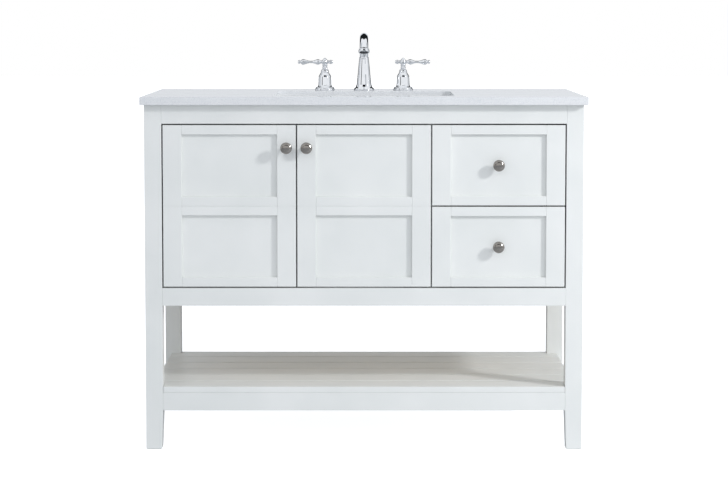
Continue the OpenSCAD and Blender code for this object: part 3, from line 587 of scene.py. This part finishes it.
def addFloor():
    # pale seamless studio floor, lit up evenly where it is seen so that only contact shadows show
    mesh = skin([[Vector((x, -floor["size"], 0)) for x in (-floor["size"], floor["size"])],
                 [Vector((x, floor["size"], 0)) for x in (-floor["size"], floor["size"])]], closed=False)
    data = bpy.data.meshes.new("studioFloor")
    mesh.to_mesh(data)
    sweep, tree, shader, place = newFinish("paleStudioPaper", Base_Color=linear(floor["colour"]),
                                           Roughness=0.9)
    fibre = addNode(tree, "TexNoise", links={"Vector": place.outputs["Object"], "Scale": perMetre(20)})
    bump = addNode(tree, "Bump", links={"Height": fibre.outputs["Fac"], "Distance": 0.02 * mm})
    tree.links.new(bump.outputs["Normal"], shader.inputs["Normal"])
    ray = addNode(tree, "LightPath")
    glow = addNode(tree, "Math", {"operation": "MULTIPLY"},
                   {0: ray.outputs["Is Camera Ray"], 1: floor["glow"]})
    shader.inputs["Emission Color"].default_value = (1, 1, 1, 1)
    tree.links.new(glow.outputs[0], shader.inputs["Emission Strength"])
    data.materials.append(sweep)
    ground = bpy.data.objects.new("studioFloor", data)
    scene.collection.objects.link(ground)


scene.view_settings.view_transform = "Standard"
addCamera()
addLamps()
addSurroundings()
addFloor()
print("studio ready")


# ---- legs, rails and panels ----

woodEdges = {"frame": 1.0, "door": 1.1, "board": 0.5}

for name in ("leg_front_left", "leg_front_right", "leg_back_left", "leg_back_right"):
    dressNode(name, paintAlong[2], woodEdges["frame"])
dressNode("case_rails", paintAlong[0], woodEdges["frame"])
dressNode("side_rails", paintAlong[1], woodEdges["frame"])
dressNode("shelf_rails", paintAlong[0], woodEdges["frame"])
dressNode("shelf_slats", paintAlong[0], 1.4)
for name in ("side_panels", "back_panel", "partition"):
    dressNode(name, paintBoard, woodEdges["board"])
dressNode("cabinet_floor", plyFloor, woodEdges["board"])
dressNode("slide_spacers", plyEnd, 0.4)
dressNode("leg_levellers", nylon, 0.6)

for name in ("left_door", "right_door", "upper_drawer", "lower_drawer"):
    dressNode(name + "_stiles", paintAlong[2], woodEdges["door"])
    dressNode(name + "_rails", paintAlong[0], woodEdges["door"])
    panel = name + ("_panels" if "door" in name else "_panel")
    dressNode(panel, paintBoard, woodEdges["board"])
for name in ("upper_drawer", "lower_drawer"):
    dressNode(name + "_sides", plySide, 0.4)
    dressNode(name + "_ends", plyEnd, 0.4)
    dressNode(name + "_bottom", plyBottom, 0.3)
print("woodwork dressed")


# ---- counter and basin ----

dressNode("countertop", stone, 1.3)

topLow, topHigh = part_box("countertop")
basinAt = middleOf("sink_basin")

basin = {
    "opening": (440, 300), "corner": 24, "wall": 9, "flange": 22, "flangeHeight": 12,
    "depth": 136, "drain": 45, "floorRadius": 26, "fall": 3, "taper": 4, "lip": 2.5, "segments": 24,
}


def roundRectangle(width, depth, radius, z, segments):
    # a ring of points round a rectangle with round corners, from the middle of its right side
    ring = []
    for quarter, (sx, sy) in enumerate(((1, 1), (-1, 1), (-1, -1), (1, -1))):
        for i in range(segments + 1):
            angle = math.pi / 2 * (quarter + i / segments)
            ring.append(Vector((sx * (width / 2 - radius) + radius * math.cos(angle),
                                sy * (depth / 2 - radius) + radius * math.sin(angle), z)) * mm)
    return ring


def basinShell():
    # an undermount bowl: flange, tapering walls, a round turn into a floor that falls to the drain
    b = basin
    width, depth = b["opening"]
    count = b["segments"]

    def ring(out, z, corner=None):
        radius = max(b["corner"] + out, 4) if corner is None else corner
        return roundRectangle(width + 2 * out, depth + 2 * out, radius, z, count)

    bottom = -b["depth"]
    rings = []
    # outside, from under the floor up to the flange, its edge, and its top face
    outer = rounded([(-40, bottom - b["wall"], 0), (b["wall"] - b["taper"], bottom - b["wall"], 30),
                     (b["wall"], -b["flangeHeight"], 6), (b["flange"], -b["flangeHeight"], 2.5),
                     (b["flange"], 0, 1.5), (0.6, 0, 0)], 5)
    inner = rounded([(0.6, 0, 0), (0, -0.6, 1), (-b["taper"], bottom, b["floorRadius"]),
                     (-b["taper"] - 60, bottom, 0)], 8)
    for out, z in outer + inner:
        rings.append(ring(out, z, max(b["corner"] + out, 10 - min(0, out) * 0.4)))
    # the floor runs from the round turn to the drain's hole, both ways
    hole = b["drain"] / 2

    def floorRing(share, top):
        edge = rings[-1] if top else rings[0]
        ring = []
        for point in edge:
            angle = math.atan2(point.y, point.x)
            end = Vector((hole * math.cos(angle), hole * math.sin(angle), 0)) * mm
            level = point.z - (b["fall"] * (1 - (1 - share) ** 2) * mm if top else 0)
            flat = Vector((point.x, point.y, 0)).lerp(end, share)
            ring.append(Vector((flat.x, flat.y, level)))
        return ring

    inside = [floorRing(share, True) for share in (0.25, 0.5, 0.75, 0.95, 1.0)]
    below = [floorRing(share, False) for share in (1.0, 0.6, 0.3)]
    wholeRings = below + rings + inside
    return skin(wholeRings + [wholeRings[0]])


makePiece("basinBowl", basinShell(), glaze, "cabinet",
          placed(0, basinAt.y, topLow.z), sharp=50, replaced=["sink_basin"])

bead = {"radius": 1.1, "below": 0.35, "flangeBead": 3.5}


def sealantBead(outline, radius, z):
    # a gunned bead along a closed outline
    rings = []
    for i, point in enumerate(outline):
        forward = (outline[(i + 1) % len(outline)] - outline[i - 1]).normalized()
        side = forward.cross(zAxis)
        ring = []
        for j in range(10):
            angle = 2 * math.pi * j / 10
            ring.append(point + (side * math.cos(angle) + zAxis * math.sin(angle)) * radius * mm)
        rings.append(ring)
    mesh = skin(rings + [rings[0]])
    bmesh.ops.translate(mesh, verts=mesh.verts, vec=(0, 0, z))
    bmesh.ops.remove_doubles(mesh, verts=mesh.verts, dist=1e-6)
    return mesh


innerLine = roundRectangle(basin["opening"][0] + 0.9, basin["opening"][1] + 0.9, basin["corner"] + 0.5, 0, 8)
outerSize = [size + 2 * basin["flange"] for size in basin["opening"]]
outerLine = roundRectangle(outerSize[0], outerSize[1], basin["corner"] + basin["flange"], 0, 8)
innerBead = sealantBead(innerLine, bead["radius"], -bead["below"] * mm)
outerBead = sealantBead(outerLine, bead["flangeBead"], 0)
makePiece("basinSeal", joined((innerBead, Matrix.Identity(4)), (outerBead, Matrix.Identity(4))), sealant,
          "cabinet", placed(0, basinAt.y, topLow.z))
print("counter and basin made")


# ---- threads, nuts and screws ----

def threaded(radius, low, high, pitch, depth, segments=40):
    # an outside thread in mm: rings whose radius follows the thread's helix, with plain ends
    rings = [[Vector((0, 0, low)) * mm]]
    steps = int((high - low) / pitch * 8)
    for i in range(steps + 1):
        z = low + (high - low) * i / steps
        fade = min(1, (z - low) / pitch, (high - z) / pitch)
        ring = []
        for j in range(segments):
            angle = 2 * math.pi * j / segments
            phase = (z / pitch - j / segments) % 1
            cut = depth * (1 - abs(2 * phase - 1)) * fade
            ring.append(Vector(((radius - cut) * math.cos(angle), (radius - cut) * math.sin(angle), z)) * mm)
        rings.append(ring)
    rings.append([Vector((0, 0, high)) * mm])
    return skin(rings)


shank = {
    "body": 13.5, "bodyPitch": 2.0, "bodyDepth": 0.8,
    "inlet": 10.45, "inletPitch": 1.814, "inletDepth": 0.9, "inletLength": 30,
    "counter": 19, "below": 20,  # through the counter, and how far under it the body reaches
}


def threadedShank():
    # the threaded body through the counter, with the inlet for the supply pipe below
    s = shank
    shoulder = -s["counter"] - s["below"]
    body = threaded(s["body"], shoulder, 0, s["bodyPitch"], s["bodyDepth"])
    inlet = threaded(s["inlet"], shoulder - s["inletLength"], shoulder + 1, s["inletPitch"], s["inletDepth"])
    return joined((body, Matrix.Identity(4)), (inlet, Matrix.Identity(4)))


screw = {"recess": 0.62, "slot": 0.17, "deep": 0.5}


def panHead(width, height):
    # a pan-head screw with a cross recess, on its seat and facing +Z
    radius = width / 2
    head = turned([(0, 0, 0), (radius, 0, 0.2), (radius, height * 0.45, 0.3),
                   (radius * 0.72, height * 0.93, 1), (0, height, 0)], 32, 4)
    cutter = bmesh.new()
    for spin in (0, math.pi / 2):
        made = bmesh.ops.create_cube(cutter, size=1.0)["verts"]
        length, thick = width * screw["recess"], width * screw["slot"]
        bmesh.ops.scale(cutter, verts=made, vec=Vector((length, thick, height)) * mm)
        bmesh.ops.translate(cutter, verts=made, vec=Vector((0, 0, height * (1.0 + 0.5 - screw["deep"]))) * mm)
        for vertex in made:  # the recess narrows downwards
            if vertex.co.z < height * mm:
                vertex.co.x *= 0.5
                vertex.co.y *= 0.8
        bmesh.ops.rotate(cutter, verts=made, matrix=Matrix.Rotation(spin, 3, "Z"), cent=(0, 0, 0))
    objects = []
    for name, mesh in (("headBlank", head), ("headCutter", cutter)):
        data = bpy.data.meshes.new(name)
        mesh.to_mesh(data)
        objects.append(bpy.data.objects.new(name, data))
        scene.collection.objects.link(objects[-1])
    cut = objects[0].modifiers.new("cut", "BOOLEAN")
    cut.operation = "DIFFERENCE"
    cut.solver = "EXACT"
    cut.use_self = True
    cut.object = objects[1]
    bpy.context.view_layer.update()
    evaluated = objects[0].evaluated_get(bpy.context.evaluated_depsgraph_get())
    result = bmesh.new()
    result.from_mesh(evaluated.to_mesh())
    evaluated.to_mesh_clear()
    for made in objects:
        bpy.data.objects.remove(made)
    return result


def manyOf(mesh, matrices):
    return joined(*[(mesh, matrix) for matrix in matrices])


smallHead = panHead(7, 1.7)
woodHead = panHead(8, 2.2)
boltHead = panHead(9, 2.4)
print("screw heads made")


# ---- tap set ----

baseRadius = 25.5
spread = 101.6 * mm
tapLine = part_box("handle_bases")[0].y + baseRadius * mm
counterTop = topHigh.z

spoutShape = {
    "body": [(12, 0, 0), (26.6, 0, 0.4), (27, 2.4, 1.2), (25, 5.2, 1.5), (21.4, 8.6, 3), (19.3, 14.5, 6),
             (17.8, 28, 20), (16.2, 41, 20), (13.8, 68, 20), (12.4, 80.5, 5), (12.6, 82, 0.6),
             (12.6, 84.2, 0.8), (11.4, 85.4, 0.5), (10.6, 86, 0)],
    "tube": 11, "bend": 56, "turn": 160, "bendZ": 82, "neck": 70,
    "collar": [(11.45, 4, 0), (11.45, -2, 0.3), (14, -2, 0.7), (14, 3, 0.8), (12.7, 4, 0.5),
               (13.2, 5.2, 0.5), (13.2, 6.8, 0.6), (11.6, 8.6, 1), (10.8, 9, 0)],
    "seat": 4,
}


def spoutMesh():
    # trumpet body, gooseneck, collar at the outlet, and the threaded shank below
    s = spoutShape
    path = [Vector((0, 0, z)) * mm for z in range(s["neck"], s["bendZ"], 4)]
    end = math.radians(s["turn"]) - s["seat"] / s["bend"]
    for i in range(81):
        angle = end * i / 80
        path.append(Vector((0, -s["bend"] + s["bend"] * math.cos(angle),
                            s["bendZ"] + s["bend"] * math.sin(angle))) * mm)
    rings = tube(path, [s["tube"] * mm] * len(path), 64)
    rings.append([rings[-1][i].lerp(path[-1], 0.4) for i in range(64)])
    turn = math.radians(s["turn"])
    outlet = Vector((0, -s["bend"] + s["bend"] * math.cos(turn),
                     s["bendZ"] + s["bend"] * math.sin(turn))) * mm
    back = Vector((0, math.sin(turn), -math.cos(turn)))
    towardsTube = back.to_track_quat("Z", "X").to_matrix().to_4x4()
    return joined((turned(s["body"], 96, 8), Matrix.Identity(4)), (skin(rings), Matrix.Identity(4)),
                  (turned(s["collar"], 72, 5), Matrix.Translation(outlet) @ towardsTube),
                  (threadedShank(), Matrix.Identity(4)))


makePiece("tapSpout", spoutMesh(), chrome, "cabinet", placed(0, tapLine, counterTop),
          sharp=40, replaced=["spout"])
dressNode("spout_aerator", aeratorPlastic, 0.3)

baseShape = [(9.6, 0, 0), (25, 0, 0.4), (baseRadius, 0.8, 0.6), (baseRadius, 3.4, 0.9), (24.3, 4.5, 0.5),
             (25, 5.5, 0.8), (23.5, 7.4, 1.5), (19.4, 9.4, 2.5), (17.3, 12.2, 3), (16.8, 18, 6),
             (16.6, 28, 8), (16.1, 34.5, 6), (14.6, 39, 5), (11.4, 43.6, 4), (9.9, 46.6, 1.2),
             (10.7, 48.4, 0.9), (9.7, 50.2, 0.8), (9.1, 52.6, 0.4), (8.6, 53, 0.2), (4.1, 53, 0),
             (4.1, 46, 0)]
base = turned(baseShape, 96, 7)
makePiece("handleBases", manyOf(base, [placed(x, 0, 0) for x in (-spread, spread)]), chrome, "cabinet",
          placed(0, tapLine, counterTop), sharp=40, replaced=["handle_bases"])

handleShape = {
    "seat": 53.4, "leverZ": 19.5,
    "hub": [(4, 0, 0), (7.8, 0, 0.3), (8.2, 0.9, 0.4), (5.5, 2.2, 0.4), (6.5, 3.6, 1), (6.5, 6.1, 1),
            (5.3, 8, 0.5), (6.5, 9.9, 1), (6.5, 12.4, 1), (5.4, 13.7, 0.4), (7.6, 15.8, 3), (8.1, 19.5, 4),
            (7.4, 23.4, 4), (4.4, 26.7, 1.2), (3.2, 27.1, 0.3), (3.6, 28.4, 0.6), (2.4, 29.8, 0.9),
            (0, 30, 0)],
    "arm": [(0, 0, 0), (4.8, 0, 0), (4.9, 7.6, 0.5), (3.8, 8.6, 0.4), (3.8, 10.4, 0.5), (6.5, 15, 2.5),
            (7.1, 19.2, 3), (5.4, 24.4, 5), (3.2, 31, 8), (3, 40, 8), (4.6, 47, 8), (7.1, 54.6, 2.5),
            (7.3, 58.4, 2.5), (3.4, 63.6, 1.2), (3.1, 64.4, 0.3), (4.8, 65.8, 0.7), (5.1, 67.6, 1.1),
            (3.6, 69.6, 0.9), (0, 70, 0)],
    "end": [(0, 0, 0), (4.8, 0, 0), (4.7, 8.8, 0.5), (3.3, 9.8, 0.4), (3.3, 10.8, 0.4), (5.1, 13, 1.5),
            (5.4, 16.2, 2), (4.2, 19.4, 1.6), (2.2, 20.8, 0.9), (0, 21, 0)],
}


def handleMesh(side):
    # turned hub and finial with a baluster lever outwards and a ball tail inwards
    h = handleShape
    out, back = (towardsRight, towardsLeft) if side > 0 else (towardsLeft, towardsRight)
    up = placed(0, 0, h["leverZ"] * mm)
    stem = turned([(0, -23, 0), (3.6, -23, 0.4), (3.9, -22, 0.3), (3.9, 1, 0), (0, 1, 0)], 32, 3)
    return joined((turned(h["hub"], 72, 7), Matrix.Identity(4)), (turned(h["arm"], 64, 7), up @ out),
                  (turned(h["end"], 64, 7), up @ back), (stem, Matrix.Identity(4)))


for name, side in (("left", -1), ("right", 1)):
    makePiece("tapHandle" + name.capitalize(), handleMesh(side), chrome, "tap_handle_" + name,
              placed(side * spread, tapLine, counterTop + handleShape["seat"] * mm), sharp=40,
              replaced=["handle_" + name])

valveHead = turned([(0, -1, 0), (9.4, -1, 0), (9.4, 25.4, 0.6), (0, 25.4, 0)], 48, 4)
makePiece("tapValves", manyOf(joined((threadedShank(), Matrix.Identity(4)), (valveHead, Matrix.Identity(4))),
                              [placed(x, 0, 0) for x in (-spread, spread)]),
          brass, "cabinet", placed(0, tapLine, counterTop), sharp=25, replaced=["tap_valves"])
dressNode("mounting_nuts", brass, 0.5, 2)

screenMesh = {"reach": 8.6, "wire": 0.35, "pitch": 1.3}


def aeratorScreen():
    # a woven screen: two layers of fine bars clipped to a circle
    screen = bmesh.new()
    for i in range(-6, 7):
        offset = i * screenMesh["pitch"]
        half = math.sqrt(max(screenMesh["reach"] ** 2 - offset ** 2, 0))
        for spin in (0, math.pi / 2):
            verts = bmesh.ops.create_cube(screen, size=1.0)["verts"]
            bar = Vector((2 * half, screenMesh["wire"], screenMesh["wire"])) * mm
            bmesh.ops.scale(screen, verts=verts, vec=bar)
            bmesh.ops.translate(screen, verts=verts, vec=Vector((0, offset, 0.2 if spin else 0)) * mm)
            bmesh.ops.rotate(screen, verts=verts, matrix=Matrix.Rotation(spin, 3, "Z"), cent=(0, 0, 0))
    return screen


bendTurn = math.radians(spoutShape["turn"])
outletAt = Vector((0, tapLine, counterTop)) + Vector((
    0, -spoutShape["bend"] + spoutShape["bend"] * math.cos(bendTurn),
    spoutShape["bendZ"] + spoutShape["bend"] * math.sin(bendTurn))) * mm
intoTube = Vector((0, math.sin(bendTurn), -math.cos(bendTurn)))
screenTurn = intoTube.to_track_quat("Z", "X").to_matrix().to_4x4()
makePiece("aeratorScreen", aeratorScreen(), zinc, "cabinet",
          Matrix.Translation(outletAt + intoTube * 0.4 * mm) @ screenTurn)
print("tap set made")


# ---- drain ----

dressNode("drain_flange", chrome, 0.35)
dressNode("drain_tailpiece", chrome, 0.3, 2)
stopperLow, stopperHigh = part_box("drain_stopper")
stopperAt = middleOf("drain_stopper")
stopperWide = (stopperHigh.x - stopperLow.x) / 2 / mm
stopperTall = (stopperHigh.z - stopperLow.z) / mm
stopperShape = [(0, 0, 0), (2.6, 0, 0.3), (3, 0.8, 0.2), (3, stopperTall - 4.5, 0.5),
                (stopperWide - 2.4, stopperTall - 4.5, 0.3), (stopperWide - 2.4, stopperTall - 3.6, 0.2),
                (stopperWide, stopperTall - 3.2, 0.4), (stopperWide, stopperTall - 1.9, 0.6),
                (stopperWide - 5, stopperTall - 0.5, 3), (0, stopperTall, 0)]
makePiece("drainStopper", turned(stopperShape, 80, 6), chrome, "stopper",
          placed(stopperAt.x, stopperAt.y, stopperLow.z), sharp=40, replaced=["drain_stopper"])
print("drain made")


# ---- knobs ----

knob = {
    "across": 28, "out": 27,
    # radius and place as shares of its size, then the corner radius in mm
    "outline": [(0, 0, 0), (0.28, 0, 0.3), (0.29, 0.045, 0.5), (0.2, 0.15, 2.5), (0.163, 0.31, 3),
                (0.18, 0.43, 2.5), (0.285, 0.535, 2), (0.45, 0.595, 1.2), (0.5, 0.66, 1.2),
                (0.497, 0.75, 2.2), (0.44, 0.865, 4), (0.29, 0.965, 8), (0, 1, 0)],
    "screwRadius": 1.95,
}
knobPlaces = {
    # drawer or door: how deep its screw goes in mm
    "left_door": 19, "right_door": 19, "upper_drawer": 6, "lower_drawer": 23,
}


def knobMesh(screwLength):
    outline = [(r * knob["across"], z * knob["out"], round) for r, z, round in knob["outline"]]
    head = turned(outline, 80, 8)
    thread = threaded(knob["screwRadius"], -screwLength, 1, 0.7, 0.3, 24)
    return joined((head, Matrix.Identity(4)), (thread, Matrix.Identity(4)),
                  (boltHead, placed(0, 0, -screwLength * mm, downwards)))


for name, screwLength in knobPlaces.items():
    low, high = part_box(name + "_knob")
    place = ((low.x + high.x) / 2, low.y + knob["out"] * mm, (low.z + high.z) / 2)
    side, kind = name.split("_")
    makePiece(side + kind.capitalize() + "Knob", knobMesh(screwLength), nickel, name,
              placed(*place, towardsFront), sharp=40, replaced=[name + "_knob"])
print("knobs made")


# ---- hinges ----

dressNode("hinge_arms", zinc, 0.3, 2)
for side in ("left_door", "right_door"):
    for part in ("hinge_cups", "hinge_levers", "hinge_links"):
        dressNode(f"{side}_{part}", zinc, 0.3, 2)

armsLow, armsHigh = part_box("hinge_arms")
# in mm: half heights of the cup and arm plates, screw spacing either side, and where the screws seat
hinge = {"cupHalf": 29, "armHalf": 23, "cupScrewUp": 23, "armScrewUp": 16, "armScrewIn": 9.5, "armPlate": 2.5}
for name in ("left_door", "right_door"):
    low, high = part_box(name + "_hinge_cups")
    x = (low.x + high.x) / 2
    matrices = []
    for z in (low.z + hinge["cupHalf"] * mm, high.z - hinge["cupHalf"] * mm):
        for up in (-hinge["cupScrewUp"] * mm, hinge["cupScrewUp"] * mm):
            matrices.append(placed(x, high.y, z + up, towardsBack))
    makePiece(name.split("_")[0] + "DoorCupScrews", manyOf(smallHead, matrices), zinc, name,
              sharp=30)
armMiddleY = armsHigh.y - hinge["armScrewIn"] * mm
plate = hinge["armPlate"] * mm
matrices = []
for z in (armsLow.z + hinge["armHalf"] * mm, armsHigh.z - hinge["armHalf"] * mm):
    for up in (-hinge["armScrewUp"] * mm, hinge["armScrewUp"] * mm):
        matrices.append(placed(armsLow.x + plate, armMiddleY, z + up, towardsRight))
        matrices.append(placed(armsHigh.x - plate, armMiddleY, z + up, towardsLeft))
makePiece("hingeArmScrews", manyOf(woodHead, matrices), zinc, "cabinet", sharp=30)
print("hinges dressed")


# ---- drawer slides ----

dressNode("outer_slides", zinc, 0.3, 2)
slide = {
    "screws": (40, 210, 390), "screwIn": 5.1,
    "ball": 0.75, "pitch": 6.0, "balls": 16, "ballIn": 4.6, "ballStart": 8, "raceOut": 0.8, "raceIn": 2.2,
}
for level in ("upper", "lower"):
    dressNode(f"{level}_inner_slides", zinc, 0.3, 2)
    dressNode(f"{level}_middle_slides", zinc, 0.3, 2)
    low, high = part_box(f"{level}_inner_slides")
    z = (low.z + high.z) / 2
    matrices = []
    for along in slide["screws"]:
        matrices.append(placed(low.x + slide["screwIn"] * mm, low.y + along * mm, z, towardsLeft))
        matrices.append(placed(high.x - slide["screwIn"] * mm, low.y + along * mm, z, towardsRight))
    makePiece(level + "SlideScrews", manyOf(smallHead, matrices), zinc, level + "_drawer",
              sharp=30)
    low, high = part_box(f"{level}_middle_slides")
    ball = bmesh.new()
    bmesh.ops.create_icosphere(ball, subdivisions=2, radius=slide["ball"] * mm)
    matrices = []
    out, inside = slide["raceOut"] * mm, slide["raceIn"] * mm
    for x in (low.x + slide["ballIn"] * mm, high.x - slide["ballIn"] * mm):
        for z in (low.z - out, high.z + out, low.z + inside, high.z - inside):
            for i in range(slide["balls"]):
                matrices.append(placed(x, low.y + (slide["ballStart"] + i * slide["pitch"]) * mm, z))
    makePiece(level + "SlideBalls", manyOf(ball, matrices), zinc, level + "_slide_middles")
print("slides dressed")


# ---- drawer bumpers ----

bumper = {"radius": 3, "thick": 1.9, "in": 14}
dot = turned([(0, 0, 0), (bumper["radius"], 0, 0), (bumper["radius"] * 0.75, bumper["thick"], 0.9),
              (0, bumper["thick"], 0)], 32, 5)
for level in ("upper", "lower"):
    low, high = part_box(level + "_drawer_stiles")
    edge = (low.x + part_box("partition")[1].x) / 2
    heights = (low.z + bumper["in"] * mm, high.z - bumper["in"] * mm)
    matrices = [placed(edge, high.y, z, towardsBack) for z in heights]
    makePiece(level + "DrawerBumpers", manyOf(dot, matrices), bumperPlastic, level + "_drawer")
